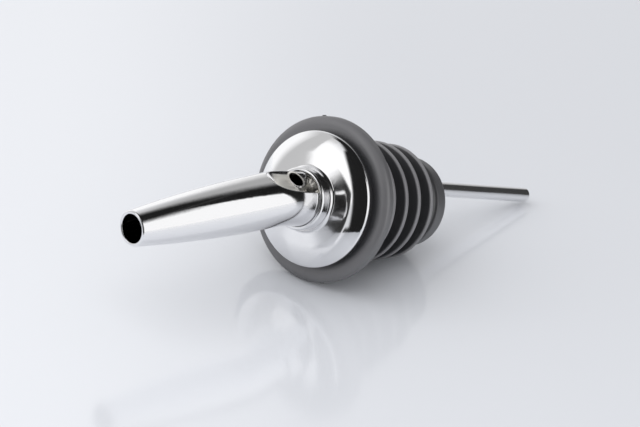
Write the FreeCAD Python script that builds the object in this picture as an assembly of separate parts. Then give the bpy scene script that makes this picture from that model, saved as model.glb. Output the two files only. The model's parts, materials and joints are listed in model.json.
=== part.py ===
import FreeCAD, Part
import math
import os

# A liquor pourer: a bent metal spout on a domed collar, with a rubber stopper and a breather tube.
# Millimetres. The origin is on the stopper's axis, in the plane of the flange's underside, where
# the rim of a bottle meets it. +Z points out of the bottle, and the spout leans towards +X.

# Stopper, one rubber moulding
flange_radius = 16.0
flange_edge_height = 1.5
flange_height = 2.2
flange_shoulder_width = 0.9
flange_shoulder_round = 2.0
flange_edge_round = 0.8
flange_underside_round = 0.25
boss_inset = 0.4
boss_height = 1.3
fin_count = 4
first_fin_depth = 5.2
fin_pitch = 4.85
first_fin_radius = 12.65
fin_radius_step = 0.45
fin_land = 0.8
fin_edge_round = 0.3
fin_top_rise = 0.35
fin_lead_in = 1.7
fin_root_round = 0.5
core_radius = 9.3
core_taper_per_mm = 0.035
nose_depth = 25.0
nose_radius = 9.1
nose_length = 3.8
nose_draft = 0.3
nose_round = 1.5
stopper_running_clearance = 0.05

# Shank tube: the stopper is pushed onto it, and its top end is the neck round the spout's base
shank_bore_radius = 5.32
shank_wall = 0.7
shank_end_recess = 0.5
neck_height = 9.1
neck_outer_lip_round = 0.45
neck_inner_lip_round = 0.15

# Domed collar, pressed from sheet and soldered round the shank tube
collar_radius = 13.15
collar_sheet = 0.7
collar_skirt = 0.65
collar_rim_round = 0.18
collar_shoulder_round = 0.6
collar_outer_slope = math.radians(32.0)
collar_inner_slope = math.radians(8.5)
collar_break_radius = 11.0
collar_break_round = 9.0

# Spout, a swaged and bent tube with a pocket pressed into its back
spout_fit_clearance = 0.05
spout_wall = 0.6
spout_base_height = 3.0
bend_start_height = 12.6
bend_radius = 25.0
bend_angle = math.radians(13.4)
taper_length = 33.4
tip_radius = 3.34
tip_bore_radius = 2.7
tip_bore_length = 5.0
tip_outer_lip_round = 0.3
tip_inner_lip_round = 0.2
pocket_radius = 4.2
pocket_offset = 6.2
pocket_side_angle = math.radians(10.0)
pocket_curve_height = 12.0
pocket_curve_radius = 15.0
pocket_rim_round = 0.2
pocket_form_turn = math.radians(50.0)
pocket_form_overrun = 1.0

# Breather tube, straight, from the pocket to the free end in the bottle
breather_radius = 1.5
breather_wall = 0.3
breather_side_angle = math.radians(27.0)
breather_mouth_height = 11.0
breather_mouth_offset = 3.78
breather_tail_depth = 69.0
breather_tail_offset = 2.0
mouth_bevel = math.radians(46.0)
mouth_bevel_azimuth = math.radians(56.0)

# Solder, and the thin film of it that soldered pieces leave between them
solder_film = 0.02
pocket_solder_top = 7.6
pocket_solder_bottom = 5.0
collar_solder_reach = 0.6
collar_solder_rise = 0.5
collar_solder_edge_round = 0.12

# Sizes that follow from the ones above
spout_radius = shank_bore_radius - spout_fit_clearance
spout_bore_radius = spout_radius - spout_wall
shank_radius = shank_bore_radius + shank_wall
stopper_bore_radius = shank_radius + stopper_running_clearance
stopper_depth = nose_depth + nose_length
shank_bottom = shank_end_recess - stopper_depth
collar_rim_height = flange_height + boss_height
collar_hole_radius = shank_radius + solder_film
boss_radius = collar_radius - boss_inset

# Numbers that aren't sizes of the object
whole_turn = 360.0
same_point = 1e-6
same_edge = 1e-4

UP = FreeCAD.Vector(0, 0, 1)
ACROSS = FreeCAD.Vector(0, 1, 0)
ORIGIN = FreeCAD.Vector(0, 0, 0)


def vector(x, y, z):
    return FreeCAD.Vector(x, y, z)


# A closed outline in the XZ plane, made from corners (radius from the axis, height, rounding)
def rounded_outline(corners):
    points = [vector(r, 0, z) for r, z, rounding in corners]
    count = len(points)
    starts = []
    ends = []
    edges = []
    for i in range(count):
        corner = points[i]
        back = (points[i - 1] - corner).normalize()
        ahead = (points[(i + 1) % count] - corner).normalize()
        rounding = corners[i][2]
        if rounding == 0:
            starts.append(corner)
            ends.append(corner)
            continue
        half_angle = back.getAngle(ahead) / 2.0
        reach = rounding / math.tan(half_angle)
        starts.append(corner + back * reach)
        ends.append(corner + ahead * reach)
        bisector = (back + ahead).normalize()
        centre = corner + bisector * (rounding / math.sin(half_angle))
        middle = centre - bisector * rounding
        edges.append(Part.Arc(starts[i], middle, ends[i]).toShape())
    for i in range(count):
        following = (i + 1) % count
        if ends[i].distanceToPoint(starts[following]) > same_point:
            edges.append(Part.LineSegment(ends[i], starts[following]).toShape())
    return Part.Wire(Part.__sortEdges__(edges))


def revolved(corners):
    face = Part.Face(rounded_outline(corners))
    return face.revolve(ORIGIN, UP, whole_turn)


def stopper_core_radius(depth):
    return core_radius - core_taper_per_mm * depth


# The rubber stopper: nose, fins, flange and the boss that carries the collar
def make_stopper():
    bore = stopper_bore_radius
    corners = [
        (bore, -stopper_depth, 0),
        (nose_radius - nose_draft, -stopper_depth, nose_round),
        (nose_radius, -nose_depth, fin_edge_round),
        (stopper_core_radius(nose_depth), -nose_depth + fin_top_rise, fin_root_round),
    ]
    for number in reversed(range(fin_count)):
        depth = first_fin_depth + number * fin_pitch
        radius = first_fin_radius - number * fin_radius_step
        lower = depth + fin_land / 2.0
        upper = depth - fin_land / 2.0
        lower_root = lower + fin_lead_in
        upper_root = upper - fin_top_rise
        corners += [
            (stopper_core_radius(lower_root), -lower_root, fin_root_round),
            (radius, -lower, fin_edge_round),
            (radius, -upper, fin_edge_round),
            (stopper_core_radius(upper_root), -upper_root, fin_root_round),
        ]
    boss_top = flange_height + boss_height
    corners += [
        (core_radius, 0, fin_root_round),
        (flange_radius, 0, flange_underside_round),
        (flange_radius, flange_edge_height, flange_edge_round),
        (flange_radius - flange_shoulder_width, flange_height, flange_shoulder_round),
        (boss_radius, flange_height, 0),
        (boss_radius, boss_top, 0),
        (bore, boss_top, 0),
    ]
    return revolved(corners)


def make_shank_tube():
    corners = [
        (shank_bore_radius, shank_bottom, neck_inner_lip_round),
        (shank_radius, shank_bottom, neck_inner_lip_round),
        (shank_radius, neck_height, neck_outer_lip_round),
        (shank_bore_radius, neck_height, neck_inner_lip_round),
    ]
    return revolved(corners)


# The collar's outer face: a steep shoulder above the rim, then a gentle slope up to the neck
def collar_shoulder_height():
    return collar_rim_height + collar_skirt


def collar_break_height():
    shoulder_width = collar_radius - collar_break_radius
    return collar_shoulder_height() + shoulder_width * math.tan(collar_outer_slope)


def collar_slope_height(radius):
    return collar_break_height() + (collar_break_radius - radius) * math.tan(collar_inner_slope)


def make_collar():
    sheet = collar_sheet
    outer_drop = sheet / math.cos(collar_outer_slope)
    inner_drop = sheet / math.cos(collar_inner_slope)
    slope_change = math.tan(collar_outer_slope) - math.tan(collar_inner_slope)
    inner_rim = collar_radius - sheet
    inner_shoulder = collar_shoulder_height() + sheet * math.tan(collar_outer_slope) - outer_drop
    inner_break = collar_break_radius - (outer_drop - inner_drop) / slope_change
    hole = collar_hole_radius
    corners = [
        (collar_radius, collar_rim_height, collar_rim_round),
        (collar_radius, collar_shoulder_height(), collar_shoulder_round),
        (collar_break_radius, collar_break_height(), collar_break_round),
        (hole, collar_slope_height(hole), 0),
        (hole, collar_slope_height(hole) - inner_drop, 0),
        (inner_break, collar_slope_height(inner_break) - inner_drop, collar_break_round - sheet),
        (inner_rim, inner_shoulder, 0),
        (inner_rim, collar_rim_height, 0),
    ]
    return revolved(corners)


# Frame at the end of the bend, where the straight tapered run starts
def bend_end():
    lean = vector(math.sin(bend_angle), 0, math.cos(bend_angle))
    x = bend_radius * (1 - math.cos(bend_angle))
    z = bend_start_height + bend_radius * math.sin(bend_angle)
    return vector(x, 0, z), lean


def disc_at(centre, radius):
    return Part.Face(Part.Wire([Part.Circle(centre, UP, radius).toShape()]))


def straight_and_bend(radius):
    base = vector(0, 0, spout_base_height)
    straight = Part.makeCylinder(radius, bend_start_height - spout_base_height, base, UP)
    bend_start = vector(0, 0, bend_start_height)
    bend_centre = vector(bend_radius, 0, bend_start_height)
    elbow = disc_at(bend_start, radius).revolve(bend_centre, ACROSS, math.degrees(bend_angle))
    return straight.fuse(elbow)


# The tapered run: one arc, tangent to the bend, then a parallel stretch if the bore has one
def tapered_run(start_radius, end_radius, length, parallel_length):
    start, lean = bend_end()
    drop = start_radius - end_radius
    arc_radius = (length * length + drop * drop) / (2.0 * drop)
    half_turn = math.asin(length / arc_radius) / 2.0
    middle_inset = arc_radius * (1 - math.cos(half_turn))
    top = length + parallel_length
    wide = vector(start_radius, 0, 0)
    middle = vector(start_radius - middle_inset, 0, arc_radius * math.sin(half_turn))
    narrow = vector(end_radius, 0, length)
    top_edge = vector(end_radius, 0, top)
    top_centre = vector(0, 0, top)
    edges = [Part.LineSegment(ORIGIN, wide).toShape(), Part.Arc(wide, middle, narrow).toShape()]
    if parallel_length > 0:
        edges.append(Part.LineSegment(narrow, top_edge).toShape())
    edges.append(Part.LineSegment(top_edge, top_centre).toShape())
    edges.append(Part.LineSegment(top_centre, ORIGIN).toShape())
    run = Part.Face(Part.Wire(edges)).revolve(ORIGIN, UP, whole_turn)
    run.Placement = FreeCAD.Placement(start, FreeCAD.Rotation(UP, lean))
    return run


# The form pressed into the back of the spout: a round bar, upright and then curving outwards
def pocket_form(radius):
    foot_height = spout_base_height - pocket_form_overrun
    foot = vector(-pocket_offset, 0, foot_height)
    upright = Part.makeCylinder(radius, pocket_curve_height - foot_height, foot, UP)
    curve_start = vector(-pocket_offset, 0, pocket_curve_height)
    curve_centre = curve_start - vector(pocket_curve_radius, 0, 0)
    bar_end = disc_at(curve_start, radius)
    curved = bar_end.revolve(curve_centre, -ACROSS, math.degrees(pocket_form_turn))
    form = upright.fuse(curved).removeSplitter()
    form.rotate(ORIGIN, UP, math.degrees(pocket_side_angle))
    return form


def make_spout():
    blank = straight_and_bend(spout_radius)
    blank = blank.fuse(tapered_run(spout_radius, tip_radius, taper_length, 0)).removeSplitter()
    outer = press_pocket(blank)
    bore_taper = taper_length - tip_bore_length
    inner = straight_and_bend(spout_bore_radius)
    inner = inner.fuse(tapered_run(spout_bore_radius, tip_bore_radius, bore_taper, tip_bore_length))
    inner = inner.removeSplitter().cut(pocket_form(pocket_radius + spout_wall))
    spout = outer.cut(inner).cut(breather_rod(breather_radius + solder_film, breather_radius))
    return round_tip(spout)


# Takes the pocket out of the spout's blank and rounds its rim, where the form meets the blank
def press_pocket(blank):
    form = pocket_form(pocket_radius)
    pressed = blank.cut(form)
    rim = []
    for edge in pressed.Edges:
        middle = Part.Vertex(edge.valueAt((edge.FirstParameter + edge.LastParameter) / 2.0))
        on_blank = blank.Shells[0].distToShape(middle)[0] < same_edge
        on_form = form.Shells[0].distToShape(middle)[0] < same_edge
        if on_blank and on_form and middle.Z > spout_base_height + same_edge:
            rim.append(edge)
    return pressed.makeFillet(pocket_rim_round, rim)


# Rounds the two edges of the lip at the tip
def round_tip(spout):
    start, lean = bend_end()
    tip = start + lean * taper_length
    lips = {tip_radius: tip_outer_lip_round, tip_bore_radius: tip_inner_lip_round}
    for radius, rounding in lips.items():
        edges = []
        for edge in spout.Edges:
            if edge.Curve.TypeId != "Part::GeomCircle":
                continue
            beside_tip = edge.Curve.Center.distanceToPoint(tip) < same_edge
            if beside_tip and abs(edge.Curve.Radius - radius) < same_edge:
                edges.append(edge)
        spout = spout.makeFillet(rounding, edges)
    return spout


# The line of the breather tube, from its mouth in the pocket to its tail
def breather_line():
    side = vector(-math.cos(breather_side_angle), -math.sin(breather_side_angle), 0)
    mouth = side * breather_mouth_offset + vector(0, 0, breather_mouth_height)
    tail = side * breather_tail_offset + vector(0, 0, -breather_tail_depth)
    return mouth, tail


def breather_rod(radius, beyond_mouth):
    mouth, tail = breather_line()
    direction = (mouth - tail).normalize()
    length = mouth.distanceToPoint(tail) + beyond_mouth
    return Part.makeCylinder(radius, length, tail, direction)


# The tube's mouth is cut at a slant by a block whose face passes through the mouth's centre
def make_breather_tube():
    mouth, tail = breather_line()
    beyond = 2.0 * breather_radius * math.tan(mouth_bevel)
    outside = breather_rod(breather_radius, beyond)
    tube = outside.cut(breather_rod(breather_radius - breather_wall, beyond))
    aside = vector(math.cos(mouth_bevel_azimuth), math.sin(mouth_bevel_azimuth), 0)
    facing = aside * math.sin(mouth_bevel) + UP * math.cos(mouth_bevel)
    size = mouth.distanceToPoint(tail)
    block = Part.makeBox(size, size, size, vector(-size / 2.0, -size / 2.0, 0))
    block.Placement = FreeCAD.Placement(mouth, FreeCAD.Rotation(UP, facing))
    return tube.cut(block)


# Solder that closes the pocket round the breather tube, inside the neck
def make_pocket_solder():
    height = pocket_solder_top - pocket_solder_bottom
    plug = Part.makeCylinder(spout_radius, height, vector(0, 0, pocket_solder_bottom), UP)
    plug = plug.common(pocket_form(pocket_radius - solder_film))
    return plug.cut(breather_rod(breather_radius + solder_film, 0))


# Fillet of solder between the neck and the collar's outer face, hollow in section
def make_collar_solder():
    near = collar_hole_radius
    far = near + collar_solder_reach
    foot = vector(near, 0, collar_slope_height(near))
    toe = vector(far, 0, collar_slope_height(far))
    crest = vector(near, 0, foot.z + collar_solder_rise)
    crest_end = crest + vector(collar_solder_edge_round, 0, 0)
    along_slope = vector(-math.cos(collar_inner_slope), 0, math.sin(collar_inner_slope))
    sweep = Part.Arc(toe, arc_middle(toe, along_slope, crest_end), crest_end).toShape()
    edges = [
        Part.LineSegment(foot, toe).toShape(),
        sweep,
        Part.LineSegment(crest_end, crest).toShape(),
        Part.LineSegment(crest, foot).toShape(),
    ]
    return Part.Face(Part.Wire(edges)).revolve(ORIGIN, UP, whole_turn)


# Middle point of the arc in the XZ plane that leaves start along a direction and reaches end
def arc_middle(start, direction, end):
    chord = end - start
    normal = vector(-direction.z, 0, direction.x)
    if normal.dot(chord) < 0:
        normal = normal * -1.0
    radius = chord.dot(chord) / (2.0 * normal.dot(chord))
    centre = start + normal * radius
    outward = ((start + end) * 0.5 - centre).normalize()
    return centre + outward * radius


def write(name, shape):
    print(name, "volume", round(shape.Volume, 2), "valid", shape.isValid(), "solids", len(shape.Solids))
    shape.exportStep("parts/" + name + ".step")


os.makedirs("parts", exist_ok=True)
write("rubber_stopper", make_stopper())
write("shank_tube", make_shank_tube())
write("domed_collar", make_collar())
write("collar_solder", make_collar_solder())
write("pouring_spout", make_spout())
write("breather_tube", make_breather_tube())
write("pocket_solder", make_pocket_solder())
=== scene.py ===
# %% [markdown]
# # A bottle pourer in polished metal and rubber
# This lesson dresses a pourer for spirits: a bent, tapered spout on a domed collar, a thin breather
# tube, and a finned rubber stopper that it is pushed into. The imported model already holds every
# piece at its real size, in metres, with +Z pointing out of the bottle. Here it gets its finishes,
# the small things that a moulder and a solderer leave behind, and a table to lie on.

# %% Load the fixed frame
import json
import math

import bpy
from mathutils import Matrix, Vector

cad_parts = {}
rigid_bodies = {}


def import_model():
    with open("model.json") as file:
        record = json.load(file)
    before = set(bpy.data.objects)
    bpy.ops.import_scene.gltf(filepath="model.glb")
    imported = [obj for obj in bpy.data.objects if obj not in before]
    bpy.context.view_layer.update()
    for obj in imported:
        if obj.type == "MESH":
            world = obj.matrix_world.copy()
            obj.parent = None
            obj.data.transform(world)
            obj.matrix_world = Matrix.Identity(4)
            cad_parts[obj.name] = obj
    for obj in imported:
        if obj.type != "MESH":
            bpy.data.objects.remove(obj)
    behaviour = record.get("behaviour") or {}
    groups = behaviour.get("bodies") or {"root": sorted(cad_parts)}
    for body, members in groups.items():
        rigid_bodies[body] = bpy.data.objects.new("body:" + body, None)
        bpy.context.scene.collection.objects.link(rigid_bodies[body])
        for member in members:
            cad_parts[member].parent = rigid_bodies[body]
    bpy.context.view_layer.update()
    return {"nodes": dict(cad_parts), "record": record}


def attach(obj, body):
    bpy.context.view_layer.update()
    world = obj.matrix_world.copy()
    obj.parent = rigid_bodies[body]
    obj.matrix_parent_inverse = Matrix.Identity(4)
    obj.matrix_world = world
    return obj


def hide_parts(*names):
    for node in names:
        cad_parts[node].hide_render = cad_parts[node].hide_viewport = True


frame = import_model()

print("frame nodes:", sorted(frame["nodes"]))

# %% [markdown]
# ## The camera
# The photograph was taken with a long lens from above the spout's tip, so the far fins look almost
# as large as the near ones. A long lens, 0.6 m away, gives the same flat perspective. The place and
# the two directions come from matching the round outlines of the flange, fins and spout.

# %% Camera
CAMERA_PLACE = Vector((-0.24417, 0.25921, 0.48291))
CAMERA_FORWARD = Vector((0.41121, -0.42986, -0.80382)).normalized()
CAMERA_UP = Vector((-0.71272, -0.70137, 0.01047))
CAMERA_LENS = 175.69
CAMERA_SENSOR = 36.0
CAMERA_NEAREST, CAMERA_FURTHEST = 0.01, 10.0


def axes_matrix(place, side, up, back):
    """A matrix that puts X, Y and Z along three directions, at a place."""
    return Matrix.Translation(place) @ Matrix((side, up, back)).transposed().to_4x4()


camera_side = CAMERA_FORWARD.cross(CAMERA_UP).normalized()
camera_up = camera_side.cross(CAMERA_FORWARD)
bpy.ops.object.camera_add()
camera = bpy.context.object
camera.name = "camera"
camera.matrix_world = axes_matrix(CAMERA_PLACE, camera_side, camera_up, -CAMERA_FORWARD)
camera.data.lens = CAMERA_LENS
camera.data.sensor_width = CAMERA_SENSOR
camera.data.clip_start = CAMERA_NEAREST
camera.data.clip_end = CAMERA_FURTHEST
bpy.context.scene.camera = camera
print("camera at", [round(v, 3) for v in camera.location])

# %% [markdown]
# ## Which way is up
# The pourer lies on its side. It touches the table with the flange's rim and with the end of the
# breather tube, so the table leans against those two points, and its surface is tilted in the
# model's own frame. Directions in the studio are easier to think of from the table: an azimuth
# round the object, 0 away from the camera and 90 to the right, and an elevation above the table.

# %% Table directions
FLANGE_RADIUS = 0.016
TABLE_TILT = math.radians(13.03)
TABLE_TURN = math.radians(23.0)
TABLE_NORMAL = Vector((
    -math.cos(TABLE_TILT) * math.cos(TABLE_TURN),
    -math.cos(TABLE_TILT) * math.sin(TABLE_TURN),
    math.sin(TABLE_TILT),
))
TABLE_POINT = -TABLE_NORMAL * FLANGE_RADIUS * math.cos(TABLE_TILT)
AHEAD = (CAMERA_FORWARD - TABLE_NORMAL * CAMERA_FORWARD.dot(TABLE_NORMAL)).normalized()
RIGHTWARD = AHEAD.cross(TABLE_NORMAL)
STUDIO_CENTRE = Vector((0.0, 0.0, 0.005))


def studio_direction(azimuth, elevation):
    """Unit vector towards an azimuth and an elevation in degrees, seen from the table."""
    a, e = math.radians(azimuth), math.radians(elevation)
    flat = AHEAD * math.cos(a) + RIGHTWARD * math.sin(a)
    return flat * math.cos(e) + TABLE_NORMAL * math.sin(e)


print("table normal", [round(v, 3) for v in TABLE_NORMAL])

# %% [markdown]
# ## Small helpers for materials
# Every finish here is a Principled BSDF with a few noise textures on Object coordinates. The
# objects sit at the origin, so one unit is one metre, and a scale of 1000 makes millimetre detail.
# A noise seldom leaves the middle of its range, so it is remapped from 0.3 to 0.7.

# %% Noise and its range
NOISE_LOW, NOISE_HIGH = 0.3, 0.7


def new_material(name):
    """An empty node tree with its Principled BSDF, ready to be filled."""
    material = bpy.data.materials.new(name)
    material.use_nodes = True
    return material, material.node_tree, material.node_tree.nodes["Principled BSDF"]


def set_sockets(shader, **values):
    """Sets sockets by name, with an underscore for each space."""
    for name, value in values.items():
        shader.inputs[name.replace("_", " ")].default_value = value


def object_noise(tree, scale, detail=3.0, roughness=0.5, stretch=(1.0, 1.0, 1.0)):
    """A noise on Object coordinates; stretch is the pattern's frequency along each axis."""
    coordinates = tree.nodes.new("ShaderNodeTexCoord")
    mapping = tree.nodes.new("ShaderNodeMapping")
    mapping.inputs["Scale"].default_value = stretch
    noise = tree.nodes.new("ShaderNodeTexNoise")
    set_sockets(noise, Scale=scale, Detail=detail, Roughness=roughness)
    tree.links.new(coordinates.outputs["Object"], mapping.inputs["Vector"])
    tree.links.new(mapping.outputs["Vector"], noise.inputs["Vector"])
    return noise.outputs["Fac"]


def remap(tree, value, low, high, from_low=NOISE_LOW, from_high=NOISE_HIGH):
    """Maps a noise's usual range, or another one, straight onto low to high."""
    node = tree.nodes.new("ShaderNodeMapRange")
    set_sockets(node, From_Min=from_low, From_Max=from_high, To_Min=low, To_Max=high)
    tree.links.new(value, node.inputs["Value"])
    return node.outputs["Result"]


# %% Masks and mixes
def fade(tree, value, start, end, low=0.0, high=1.0):
    """Goes smoothly from low at start to high at end."""
    node = tree.nodes.new("ShaderNodeMapRange")
    node.interpolation_type = "SMOOTHSTEP"
    set_sockets(node, From_Min=start, From_Max=end, To_Min=low, To_Max=high)
    tree.links.new(value, node.inputs["Value"])
    return node.outputs["Result"]


def fade_out(tree, value, start, end):
    """One up to start, falling smoothly to nothing at end."""
    return fade(tree, value, start, end, 1.0, 0.0)


def combine(tree, operation, first, second):
    """Adds or multiplies two values."""
    node = tree.nodes.new("ShaderNodeMath")
    node.operation = operation
    tree.links.new(first, node.inputs[0])
    tree.links.new(second, node.inputs[1])
    return node.outputs[0]


def show_mixed(tree, share, first, second):
    """Shows the first shader where share is nothing, and the second where it is one."""
    mix = tree.nodes.new("ShaderNodeMixShader")
    tree.links.new(share, mix.inputs["Fac"])
    tree.links.new(first, mix.inputs[1])
    tree.links.new(second, mix.inputs[2])
    tree.links.new(mix.outputs["Shader"], tree.nodes["Material Output"].inputs["Surface"])


def colour_mixed(tree, shader, share, first, second):
    """Colours a shader like the first where share is nothing, and the second where it is one."""
    colour = tree.nodes.new("ShaderNodeMix")
    colour.data_type = "RGBA"
    colour.inputs["A"].default_value = first
    colour.inputs["B"].default_value = second
    tree.links.new(share, colour.inputs["Factor"])
    tree.links.new(colour.outputs["Result"], shader.inputs["Base Color"])


def bump(tree, shader, height, distance):
    """Adds a bump of a real depth in metres, on top of what the shader already has."""
    node = tree.nodes.new("ShaderNodeBump")
    set_sockets(node, Strength=1.0, Distance=distance)
    before = shader.inputs["Normal"]
    if before.is_linked:
        tree.links.new(before.links[0].from_socket, node.inputs["Normal"])
    tree.links.new(height, node.inputs["Height"])
    tree.links.new(node.outputs["Normal"], before)


# %% [markdown]
# ## The table
# A glossy pale table top: it mirrors the dome softly and takes a grey shadow where the rubber
# touches it. It is one plane that reaches far behind the object and ends close in front of it, just
# outside the picture, because the dome shows that edge as a straight line with the dark room under
# it. Seen from below it would hide the object, so camera rays pass through its underside.

# %% Table finish
TABLE_COLOUR = (0.70, 0.715, 0.75, 1.0)
TABLE_IOR = 1.65
TABLE_ROUGHNESS = (0.10, 0.14)
TABLE_PATCHES = 9.0


def table_material():
    """Glossy and pale from above, and clear to the camera from below."""
    material, tree, shader = new_material("glossy_table")
    set_sockets(shader, Base_Color=TABLE_COLOUR, IOR=TABLE_IOR)
    patches = object_noise(tree, TABLE_PATCHES)
    tree.links.new(remap(tree, patches, *TABLE_ROUGHNESS), shader.inputs["Roughness"])
    camera_ray = tree.nodes.new("ShaderNodeLightPath").outputs["Is Camera Ray"]
    underside = tree.nodes.new("ShaderNodeNewGeometry").outputs["Backfacing"]
    clear = tree.nodes.new("ShaderNodeBsdfTransparent")
    from_below = combine(tree, "MULTIPLY", camera_ray, underside)
    show_mixed(tree, from_below, shader.outputs["BSDF"], clear.outputs["BSDF"])
    return material


# %% Table top
TABLE_REACH = 1.6
TABLE_EDGE_AZIMUTH = -165.0
TABLE_EDGE_DISTANCE = 0.097


def deselect_all():
    """Clears the selection, so that the next operator acts on what comes after it."""
    bpy.ops.object.select_all(action="DESELECT")


def standing_plane(name, centre, side, up, width, height, material):
    """A flat sheet with its middle at centre, spread along two directions, square or slanted."""
    deselect_all()
    bpy.ops.mesh.primitive_plane_add(size=1.0)
    plane = bpy.context.object
    plane.name = name
    size = Matrix.Diagonal((width, height, 1.0, 1.0))
    plane.data.transform(axes_matrix(centre, side, up, side.cross(up)) @ size)
    plane.data.update()
    plane.data.materials.append(material)
    return plane


edge_outward = studio_direction(TABLE_EDGE_AZIMUTH, 0.0)
table_centre = TABLE_POINT + edge_outward * (TABLE_EDGE_DISTANCE - TABLE_REACH / 2.0)
along_edge = edge_outward.cross(TABLE_NORMAL)
table = standing_plane(
    "table_top", table_centre, along_edge, edge_outward, TABLE_REACH, TABLE_REACH, table_material(),
)
print("table faces", [round(v, 3) for v in table.data.polygons[0].normal])

# %% [markdown]
# ## What the metal sees
# Polished metal has no colour of its own to speak of: it shows the room. Soft boxes on the left and
# the right make the broad white areas, pale walls make the greys, and black cards make the dark
# bands that give the metal its edges. Each card is a sheet through three directions, which were
# read from the dome and the spout by following a bright or dark area's edge back into the room.
# A card's edges fade over a share of its width, because a real soft box has no hard edge. The cards
# are seen by reflections only, so they don't change how bright a colour looks.

# %% A card of light or shade
def card_material(name, level, fades):
    """Light of one level; fades are the soft shares of its left, right, bottom and top edges."""
    material, tree, shader = new_material(name)
    uv = tree.nodes.new("ShaderNodeTexCoord")
    parts = tree.nodes.new("ShaderNodeSeparateXYZ")
    tree.links.new(uv.outputs["UV"], parts.inputs["Vector"])
    left, right, bottom, top = fades
    mask = fade(tree, parts.outputs["X"], 0.0, left)
    for axis, start, end in (("X", 1.0, 1.0 - right), ("Y", 0.0, bottom), ("Y", 1.0, 1.0 - top)):
        mask = combine(tree, "MULTIPLY", mask, fade(tree, parts.outputs[axis], start, end))
    glow = tree.nodes.new("ShaderNodeEmission")
    set_sockets(glow, Strength=level)
    clear = tree.nodes.new("ShaderNodeBsdfTransparent")
    show_mixed(tree, mask, clear.outputs["BSDF"], glow.outputs["Emission"])
    tree.nodes.remove(shader)
    return material


def studio_card(name, corners, level, fades, distance):
    """A card through three directions in degrees: bottom left, bottom right and top left."""
    low_left, low_right, high_left = (
        STUDIO_CENTRE + studio_direction(*corner) * distance for corner in corners
    )
    side = low_right - low_left
    up = high_left - low_left
    card = standing_plane(
        name, (low_right + high_left) / 2.0, side.normalized(), up.normalized(),
        side.length, up.length, card_material(name + "_glow", level, fades),
    )
    card.visible_camera = False
    card.visible_diffuse = False
    card.visible_shadow = False
    card.visible_transmission = False
    print(name, round(side.length, 3), "x", round(up.length, 3), "m, level", level)


def upright(left, right, low, high):
    """The corners of a card that covers a span of azimuths and a span of elevations."""
    return (left, low), (right, low), (left, high)


# %% Soft boxes and black cards
# Each row: name, corners, level, soft shares of left, right, bottom and top, distance in metres.
CARDS = (
    ("soft_box_left", ((-141.0, 7.0), (-95.0, 7.0), (-152.0, 51.0)),
     1.2, (0.04, 0.26, 0.08, 0.42), 0.60),
    ("pale_wall_left", upright(-104.0, -70.0, -8.0, 56.0),
     0.60, (0.10, 0.45, 0.10, 0.10), 0.64),
    ("soft_box_far_left", upright(-90.0, -34.0, -6.0, 40.0),
     1.12, (0.40, 0.25, 0.10, 0.50), 0.60),
    ("soft_box_right", upright(72.0, 150.0, -4.0, 60.0),
     1.08, (0.04, 0.20, 0.04, 0.20), 0.60),
    ("bright_wall_behind", upright(-36.0, 8.0, 0.0, 42.0),
     1.10, (0.30, 0.35, 0.05, 0.45), 0.62),
    ("grey_wall_behind", upright(-12.0, 64.0, 0.0, 58.0),
     0.44, (0.22, 0.05, 0.25, 0.05), 0.58),
    ("black_card_low", upright(14.0, 80.0, -6.0, 32.0),
     0.05, (0.25, 0.04, 0.04, 0.30), 0.50),
    ("black_card_side", ((56.0, -6.0), (85.0, -6.0), (32.0, 50.5)),
     0.012, (0.50, 0.08, 0.03, 0.06), 0.49),
    ("black_card_front", ((-200.0, -12.0), (-148.0, -12.0), (163.0, 65.0)),
     0.015, (0.05, 0.16, 0.02, 0.06), 0.46),
    ("black_card_left", upright(-138.0, -109.0, -45.0, 17.0),
     0.035, (0.10, 0.30, 0.03, 0.08), 0.44),
    ("black_card_under", upright(-162.0, -130.0, -45.0, -3.5),
     0.03, (0.10, 0.10, 0.03, 0.08), 0.45),
    ("black_ceiling", ((-152.0, 41.0), (-68.0, 44.0), (115.0, 33.0)),
     0.015, (0.10, 0.30, 0.06, 0.24), 0.42),
)
for card_row in CARDS:
    studio_card(*card_row)

# %% [markdown]
# ## Light
# The room itself is a pale grey world, and one large lamp, high at the front left, gives the table
# its soft shadow. Together they light a surface at about the level its colour is written at.

# %% World and lamp
WORLD_COLOUR = (0.74, 0.745, 0.76, 1.0)
LAMP_AZIMUTH = -135.0
LAMP_ELEVATION = 48.0
LAMP_DISTANCE = 0.8
LAMP_SIZE = 1.2
LAMP_POWER = 6.0

world = bpy.data.worlds.new("pale_room")
world.use_nodes = True
world.node_tree.nodes["Background"].inputs["Color"].default_value = WORLD_COLOUR
bpy.context.scene.world = world

lamp_towards = studio_direction(LAMP_AZIMUTH, LAMP_ELEVATION)
lamp_side = TABLE_NORMAL.cross(lamp_towards).normalized()
deselect_all()
bpy.ops.object.light_add(type="AREA")
lamp = bpy.context.object
lamp.name = "soft_lamp"
lamp.data.size = LAMP_SIZE
lamp.data.energy = LAMP_POWER
lamp.matrix_world = axes_matrix(
    STUDIO_CENTRE + lamp_towards * LAMP_DISTANCE,
    lamp_side,
    lamp_towards.cross(lamp_side),
    lamp_towards,
)
lamp.visible_glossy = False
bpy.context.scene.view_settings.view_transform = "Standard"
print("lamp at", [round(v, 3) for v in lamp.location])

# %% [markdown]
# ## Polished chrome
# Plated and buffed brass or steel. It isn't a perfect mirror: buffing leaves a slow waviness that
# makes straight reflections wander, fine lines that fray the edges of dark reflections, and a
# little haze. All three are far too small to show as shape, so they are bump and roughness.
# The buffing wheel doesn't reach into the corner between the dome and the spout, so the metal there
# stays hazier, and the pocket's floor is tinned by the solder, so it is duller and warmer. Both
# places are found by their distance from the shank's axis and by their height above the flange.

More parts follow.
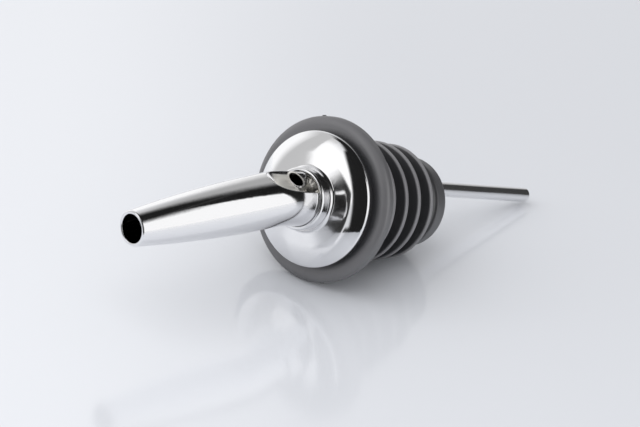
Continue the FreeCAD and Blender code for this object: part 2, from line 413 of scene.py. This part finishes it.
# %% Buffed and unbuffed places
UNBUFFED_RADII = (0.0065, 0.0105)
UNBUFFED_HEIGHTS = (0.0095, 0.0185)
TINNED_RADII = (0.00445, 0.00475)
TINNED_HEIGHTS = (0.0160, 0.0178)
TINNED_FROM = (0.0088, 0.0108)


def radius_and_height(tree):
    """Distance from the Z axis, and height, of the shaded point."""
    coordinates = tree.nodes.new("ShaderNodeTexCoord")
    parts = tree.nodes.new("ShaderNodeSeparateXYZ")
    flat = tree.nodes.new("ShaderNodeVectorMath")
    flat.operation = "MULTIPLY"
    flat.inputs[1].default_value = (1.0, 1.0, 0.0)
    length = tree.nodes.new("ShaderNodeVectorMath")
    length.operation = "LENGTH"
    tree.links.new(coordinates.outputs["Object"], parts.inputs["Vector"])
    tree.links.new(coordinates.outputs["Object"], flat.inputs[0])
    tree.links.new(flat.outputs["Vector"], length.inputs[0])
    return length.outputs["Value"], parts.outputs["Z"]


def both_faded(tree, radius, height, radii, heights):
    """One near the axis and low down, and nothing beyond the given radii or heights."""
    beside = fade_out(tree, radius, *radii)
    return combine(tree, "MULTIPLY", beside, fade_out(tree, height, *heights))


# %% Chrome
CHROME_COLOUR = (0.86, 0.86, 0.87, 1.0)
POLISH_ROUGHNESS = (0.045, 0.085)
POLISH_PATCHES = 260.0
CORNER_HAZE = 0.045
TIN_COLOUR = (0.92, 0.90, 0.85, 1.0)
TIN_HAZE = 0.24
TIN_METALLIC = 0.55
WAVE_SCALE, WAVE_DEPTH = 90.0, 0.00002
BUFFING_SCALE, BUFFING_DEPTH = 900.0, 0.0000012
BUFFING_STRETCH = (1.0, 1.0, 0.15)
CORNER_SCALE, CORNER_DEPTH = 420.0, 0.000012


def chrome_material():
    """Buffed metal, hazier in the dome's corner, and tinned in the pocket."""
    material, tree, shader = new_material("polished_chrome")
    radius, height = radius_and_height(tree)
    unbuffed = both_faded(tree, radius, height, UNBUFFED_RADII, UNBUFFED_HEIGHTS)
    inside = both_faded(tree, radius, height, TINNED_RADII, TINNED_HEIGHTS)
    tinned = combine(tree, "MULTIPLY", inside, remap(tree, height, 0.0, 1.0, *TINNED_FROM))
    haze = remap(tree, object_noise(tree, POLISH_PATCHES, detail=4.0), *POLISH_ROUGHNESS)
    haze = combine(tree, "ADD", haze, remap(tree, unbuffed, 0.0, CORNER_HAZE, 0.0, 1.0))
    haze = combine(tree, "ADD", haze, remap(tree, tinned, 0.0, TIN_HAZE, 0.0, 1.0))
    tree.links.new(haze, shader.inputs["Roughness"])
    metallic = remap(tree, tinned, 1.0, TIN_METALLIC, 0.0, 1.0)
    tree.links.new(metallic, shader.inputs["Metallic"])
    colour_mixed(tree, shader, tinned, CHROME_COLOUR, TIN_COLOUR)
    bump(tree, shader, object_noise(tree, WAVE_SCALE, detail=1.0), WAVE_DEPTH)
    lines = object_noise(tree, BUFFING_SCALE, stretch=BUFFING_STRETCH)
    bump(tree, shader, lines, BUFFING_DEPTH)
    uneven = combine(tree, "MULTIPLY", unbuffed, object_noise(tree, CORNER_SCALE, detail=2.0))
    bump(tree, shader, uneven, CORNER_DEPTH)
    return material


FINISHES = {"polished_chrome": chrome_material()}
print("chrome is hazier below", UNBUFFED_HEIGHTS[1], "m and tinned within", TINNED_RADII[1], "m")

# %% [markdown]
# ## Moulded rubber
# Black rubber with a satin skin. It is nearly black face on and greys towards grazing angles, so
# most of what shows is a blurred reflection of the soft boxes. The rims of the fins and the top of
# the flange are painted greyer than the grooves: partly rubbing and dust, partly a painted highlight
# and sheen. The stopper's end is made a little lighter too. A strip of the flange beside the collar,
# on the side where it overhangs, keeps the dark colour as painted shade from the collar. The mould's
# sandblasted surface gives it all a fine grain.

# %% Where the rubber is worn, and where light and shade are painted
FIN_RADIUS_AT_ORIGIN = 0.01313
FIN_TAPER = 0.0928
# Fin rims: a painted highlight, partly rubbed wear.
FIN_RIM = (-0.0005, -0.00015)
FIN_HEIGHTS = (-0.0030, -0.0020)
FLANGE_HEIGHTS = (-0.0006, 0.0004)
# Flange top: lighter from dust and from painted sheen.
FLANGE_DUST_AND_SHEEN = 0.44
# Stopper's end: made a little lighter.
NOSE_HEIGHTS = (-0.0262, -0.0240)
NOSE_LIGHTENING = 0.25
# Painted shade from the collar: the flange stays dark in a strip beside it, on the side where it
# overhangs.
COLLAR_RADIUS = 0.01315
PAINTED_SHADE_DIRECTION = (-0.64, 0.77, 0.0)
PAINTED_SHADE_REACH = 0.0010
PAINTED_SHADE_EDGE = (-0.0005, 0.0006)


def straight_line(tree, value, slope, start):
    """The value times slope, plus start."""
    node = tree.nodes.new("ShaderNodeMath")
    node.operation = "MULTIPLY_ADD"
    node.inputs[1].default_value = slope
    node.inputs[2].default_value = start
    tree.links.new(value, node.inputs[0])
    return node.outputs[0]


def rim_highlight_and_wear(tree, radius, height):
    """Painted highlight and rubbed wear: one on the outer edges of the fins, whose radius grows
    towards the flange.
    """
    minus_fin = straight_line(tree, height, -FIN_TAPER, -FIN_RADIUS_AT_ORIGIN)
    rims = remap(tree, combine(tree, "ADD", radius, minus_fin), 0.0, 1.0, *FIN_RIM)
    return combine(tree, "MULTIPLY", rims, fade_out(tree, height, *FIN_HEIGHTS))


def outside_painted_shade(tree, radius):
    """Painted shade: nothing beside the collar on the side where it overhangs, and one further out.
    """
    coordinates = tree.nodes.new("ShaderNodeTexCoord")
    along = tree.nodes.new("ShaderNodeVectorMath")
    along.operation = "DOT_PRODUCT"
    along.inputs[1].default_value = PAINTED_SHADE_DIRECTION
    tree.links.new(coordinates.outputs["Object"], along.inputs[0])
    overhang = PAINTED_SHADE_REACH / COLLAR_RADIUS
    minus_collar = straight_line(tree, along.outputs["Value"], -overhang, -COLLAR_RADIUS)
    return remap(tree, combine(tree, "ADD", radius, minus_collar), 0.0, 1.0, *PAINTED_SHADE_EDGE)


# %% Rubber
RUBBER_FRESH = (0.020, 0.020, 0.023, 1.0)
# The lighter colour stands for wear and dust, and for painted highlight and sheen.
RUBBER_WORN_AND_SHEEN = (0.190, 0.187, 0.196, 1.0)
RUBBER_IOR = 1.6
RUBBER_ROUGHNESS = (0.36, 0.50)
DUST_PATCHES = 140.0
GRAIN_SCALE, GRAIN_DEPTH = 2600.0, 0.00001


def rubber_material():
    """Satin black, greyer with wear and painted highlight and sheen, dark in the collar's painted
    shade, with a fine grain.
    """
    material, tree, shader = new_material("black_rubber")
    set_sockets(shader, IOR=RUBBER_IOR, Specular_IOR_Level=1.0)
    radius, height = radius_and_height(tree)
    # The fins' rims are lighter: painted highlight and rubbed wear.
    fins = rim_highlight_and_wear(tree, radius, height)
    # The flange's top is lighter: dust, and a painted sheen.
    above = remap(tree, height, 0.0, FLANGE_DUST_AND_SHEEN, *FLANGE_HEIGHTS)
    # The collar's painted shade keeps a strip of the flange dark on its overhanging side.
    flange = combine(tree, "MULTIPLY", above, outside_painted_shade(tree, radius))
    # The stopper's end is made a little lighter.
    nose = remap(tree, fade_out(tree, height, *NOSE_HEIGHTS), 0.0, NOSE_LIGHTENING, 0.0, 1.0)
    # Wear, dust, painted highlight and painted sheen together, kept out of the collar's painted
    # shade.
    wear_and_painted_light = combine(tree, "ADD", combine(tree, "ADD", fins, flange), nose)
    colour_mixed(tree, shader, wear_and_painted_light, RUBBER_FRESH, RUBBER_WORN_AND_SHEEN)
    dust = object_noise(tree, DUST_PATCHES, detail=5.0, roughness=0.6)
    tree.links.new(remap(tree, dust, *RUBBER_ROUGHNESS), shader.inputs["Roughness"])
    bump(tree, shader, object_noise(tree, GRAIN_SCALE, detail=2.0), GRAIN_DEPTH)
    return material


FINISHES["black_rubber"] = rubber_material()
print("rubber goes from", RUBBER_FRESH[:3], "to", RUBBER_WORN_AND_SHEEN[:3])

# %% [markdown]
# ## Bright tube
# The breather tube is drawn steel, cut and left bright. Drawing leaves lines along its length.

# %% Tube steel
TUBE_COLOUR = (0.84, 0.84, 0.85, 1.0)
TUBE_ROUGHNESS = (0.10, 0.2)
DRAWN_SCALE, DRAWN_DEPTH = 2400.0, 0.000002
DRAWN_STRETCH = (1.0, 1.0, 0.02)


def tube_material():
    """Bright steel with drawn lines along Z."""
    material, tree, shader = new_material("bright_tube")
    set_sockets(shader, Base_Color=TUBE_COLOUR, Metallic=1.0)
    lines = object_noise(tree, DRAWN_SCALE, detail=2.0, stretch=DRAWN_STRETCH)
    tree.links.new(remap(tree, lines, *TUBE_ROUGHNESS), shader.inputs["Roughness"])
    bump(tree, shader, lines, DRAWN_DEPTH)
    return material


FINISHES["bright_tube"] = tube_material()
print("tube lines are", round(1.0 / DRAWN_STRETCH[2]), "times as long as wide")

# %% [markdown]
# ## Tin solder
# Soft solder cools to a slightly lumpy, warm grey skin that is duller than the metal round it.

# %% Solder
SOLDER_COLOUR = (0.62, 0.60, 0.56, 1.0)
SOLDER_ROUGHNESS = (0.2, 0.4)
SOLDER_SKIN_SCALE, SOLDER_SKIN_DEPTH = 900.0, 0.00008


def solder_material():
    """Dull warm metal with a lumpy skin."""
    material, tree, shader = new_material("tin_solder")
    set_sockets(shader, Base_Color=SOLDER_COLOUR, Metallic=1.0)
    lumps = object_noise(tree, SOLDER_SKIN_SCALE)
    tree.links.new(remap(tree, lumps, *SOLDER_ROUGHNESS), shader.inputs["Roughness"])
    bump(tree, shader, lumps, SOLDER_SKIN_DEPTH)
    return material


FINISHES["tin_solder"] = solder_material()
print("finishes:", sorted(FINISHES))

# %% [markdown]
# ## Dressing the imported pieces
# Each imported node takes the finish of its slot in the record, so the two can't disagree.

# %% Finishes by slot
for subpart in frame["record"]["subparts"]:
    node = frame["nodes"][subpart["node"]]
    node.data.materials.clear()
    node.data.materials.append(FINISHES[subpart["material_slot"]])
    print(subpart["node"], "is", subpart["material_slot"])

# %% [markdown]
# ## Solder in the pocket
# On the real pourer a blob of soft solder closes the pocket round the breather tube. It was melted
# in with an iron, so it climbs the tube's side and sets in lumps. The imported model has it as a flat
# plug of the same outline. Here a round bar is cut to that outline with booleans, remeshed to even
# faces, pulled up beside the tube with a soft proportional move, and roughened with a displacement.

# %% Bars and booleans
UPWARD = Vector((0.0, 0.0, 1.0))
CUTTER_LENGTH = 0.02


def round_bar(name, centre, direction, radius, length, vertices):
    """A cylinder with its place in its mesh and its object at the origin."""
    deselect_all()
    bpy.ops.mesh.primitive_cylinder_add(vertices=vertices, radius=radius, depth=length)
    bar = bpy.context.object
    bar.name = name
    turn = UPWARD.rotation_difference(direction).to_matrix().to_4x4()
    bar.data.transform(Matrix.Translation(centre) @ turn)
    return bar


def apply_modifier(piece, kind, **settings):
    """Adds a modifier to the active piece and applies it."""
    modifier = piece.modifiers.new(kind.lower(), kind)
    for name, value in settings.items():
        setattr(modifier, name, value)
    bpy.ops.object.modifier_apply(modifier=modifier.name)


def apply_boolean(piece, cutter, operation):
    """Trims or cuts a piece with a cutter, and removes the cutter."""
    deselect_all()
    piece.select_set(True)
    bpy.context.view_layer.objects.active = piece
    apply_modifier(piece, "BOOLEAN", operation=operation, object=cutter)
    bpy.data.objects.remove(cutter)


# %% Solder outline
SOLDER_BOTTOM, SOLDER_TOP = 0.0050, 0.0076
NECK_BORE_RADIUS = 0.00529
POCKET_FORM_RADIUS = 0.00425
POCKET_FORM_PLACE = (-0.006106, -0.001077)
OUTLINE_SIDES = 96

solder_middle = (SOLDER_BOTTOM + SOLDER_TOP) / 2.0
lump = round_bar(
    "lumpy_solder", Vector((0.0, 0.0, solder_middle)), UPWARD,
    NECK_BORE_RADIUS, SOLDER_TOP - SOLDER_BOTTOM, OUTLINE_SIDES,
)
form = round_bar(
    "form_cutter", Vector((*POCKET_FORM_PLACE, solder_middle)), UPWARD,
    POCKET_FORM_RADIUS, CUTTER_LENGTH, OUTLINE_SIDES,
)
apply_boolean(lump, form, "INTERSECT")
print("solder outline has", len(lump.data.vertices), "vertices")

# %% [markdown]
# The first remesh gives the flat top the small even faces that a soft pull needs. The pull comes
# before the tube's way is cut, so the way stays straight and the solder hugs the tube. The last
# remesh closes every seam of the cut, and crumbs that the cut set free are deleted.

# %% Helpers for picking and pulling
SOLDER_GRAIN = 0.00012


def pick_nothing(kind):
    """Deselects everything in the active mesh, so that one kind of element can be picked."""
    bpy.ops.object.mode_set(mode="EDIT")
    bpy.ops.mesh.select_mode(type=kind)
    bpy.ops.mesh.select_all(action="DESELECT")
    bpy.ops.object.mode_set(mode="OBJECT")


def pull_top(piece, place, reach, rise, spread):
    """Moves the top faces near a place upwards, and less and less of what lies round them."""
    pick_nothing("VERT")
    for vertex in piece.data.vertices:
        flat = (vertex.co - place).to_2d().length
        vertex.select = flat < reach and vertex.co.z > place.z - SOLDER_GRAIN
    picked = sum(vertex.select for vertex in piece.data.vertices)
    bpy.ops.object.mode_set(mode="EDIT")
    bpy.ops.transform.translate(
        value=(0.0, 0.0, rise), use_proportional_edit=True,
        proportional_edit_falloff="SMOOTH", proportional_size=spread,
    )
    bpy.ops.object.mode_set(mode="OBJECT")
    print("pulled", picked, "vertices up by", rise)


def keep_main_body(piece):
    """Deletes crumbs that hang on nothing, by selecting what is linked to the highest point."""
    top = max(piece.data.vertices, key=lambda vertex: vertex.co.z).index
    pick_nothing("VERT")
    piece.data.vertices[top].select = True
    bpy.ops.object.mode_set(mode="EDIT")
    bpy.ops.mesh.select_linked()
    bpy.ops.mesh.select_all(action="INVERT")
    bpy.ops.mesh.delete(type="VERT")
    bpy.ops.object.mode_set(mode="OBJECT")


# %% Solder lumps
BREATHER_RADIUS = 0.0015
BREATHER_MOUTH = Vector((-0.003368, -0.001716, 0.0110))
BREATHER_TAIL = Vector((-0.001782, -0.000908, -0.0690))
CLIMB_REACH = BREATHER_RADIUS * 0.8
CLIMB = 0.0017
CLIMB_SPREAD = 0.0021
LUMP_SIZE = 0.0011
LUMP_HEIGHT = 0.00045
TUBE_OVERLAP = 0.0001
WAY_SIDES = 64
SMOOTH_ANGLE = math.radians(40.0)

climb_share = (SOLDER_TOP - BREATHER_TAIL.z) / (BREATHER_MOUTH.z - BREATHER_TAIL.z)
climb_place = BREATHER_TAIL.lerp(BREATHER_MOUTH, climb_share)
apply_modifier(lump, "REMESH", mode="VOXEL", voxel_size=SOLDER_GRAIN)
pull_top(lump, climb_place, CLIMB_REACH, CLIMB, CLIMB_SPREAD)
grain = bpy.data.textures.new("solder_lumps", "CLOUDS")
grain.noise_scale = LUMP_SIZE
apply_modifier(lump, "DISPLACE", texture=grain, strength=LUMP_HEIGHT, texture_coords="LOCAL")
way = round_bar(
    "way_cutter", climb_place, (BREATHER_MOUTH - BREATHER_TAIL).normalized(),
    BREATHER_RADIUS - TUBE_OVERLAP, CUTTER_LENGTH, WAY_SIDES,
)
apply_boolean(lump, way, "DIFFERENCE")
apply_modifier(lump, "REMESH", mode="VOXEL", voxel_size=SOLDER_GRAIN)
keep_main_body(lump)
bpy.ops.object.shade_smooth_by_angle(angle=SMOOTH_ANGLE)
lump.data.materials.append(FINISHES["tin_solder"])
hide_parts("pocket_solder")
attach(lump, "pourer")
solder_peak = max(vertex.co.z for vertex in lump.data.vertices)
print("solder:", len(lump.data.polygons), "faces, top at", round(solder_peak, 5))

# %% [markdown]
# ## Flash on the flange
# The stopper is moulded in two halves, and where they meet a little rubber squeezes out. It was
# trimmed off all round except for two nicks on opposite sides of the flange. One nick is a block
# that is narrowed at its outer face and bevelled; the other is a copy, turned by half a turn.

# %% Parting flash
FLASH_AZIMUTH = 224.0
FLASH_PLACE = (0.01585, 0.0, 0.00078)
FLASH_SIZE = (0.00070, 0.00085, 0.00150)
FLASH_NARROWING = (1.0, 0.35, 0.6)
FLASH_BEVEL = 0.00012
FACES_OUTWARD = 0.9


def model_flash(name):
    """One nick of flash on the +X side, not yet turned to its place."""
    deselect_all()
    bpy.ops.mesh.primitive_cube_add(size=1.0)
    nick = bpy.context.object
    nick.name = name
    nick.data.transform(Matrix.Translation(FLASH_PLACE) @ Matrix.Diagonal((*FLASH_SIZE, 1.0)))
    pick_nothing("FACE")
    for face in nick.data.polygons:
        face.select = face.normal.x > FACES_OUTWARD
    bpy.ops.object.mode_set(mode="EDIT")
    bpy.ops.transform.resize(value=FLASH_NARROWING, center_override=FLASH_PLACE)
    bpy.ops.mesh.select_all(action="SELECT")
    bpy.ops.mesh.bevel(offset=FLASH_BEVEL, segments=3)
    bpy.ops.object.mode_set(mode="OBJECT")
    bpy.ops.object.shade_smooth_by_angle(angle=SMOOTH_ANGLE)
    return nick


flash_top = model_flash("parting_flash_1")
flash_low = flash_top.copy()
flash_low.data = flash_top.data.copy()
flash_low.name = "parting_flash_2"
bpy.context.collection.objects.link(flash_low)
for flash, turn in ((flash_top, FLASH_AZIMUTH), (flash_low, FLASH_AZIMUTH - 180.0)):
    flash.data.transform(Matrix.Rotation(math.radians(turn), 4, "Z"))
    flash.data.materials.append(FINISHES["black_rubber"])
    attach(flash, "stopper")
    print(flash.name, "at", [round(v, 4) for v in flash.data.vertices[0].co])
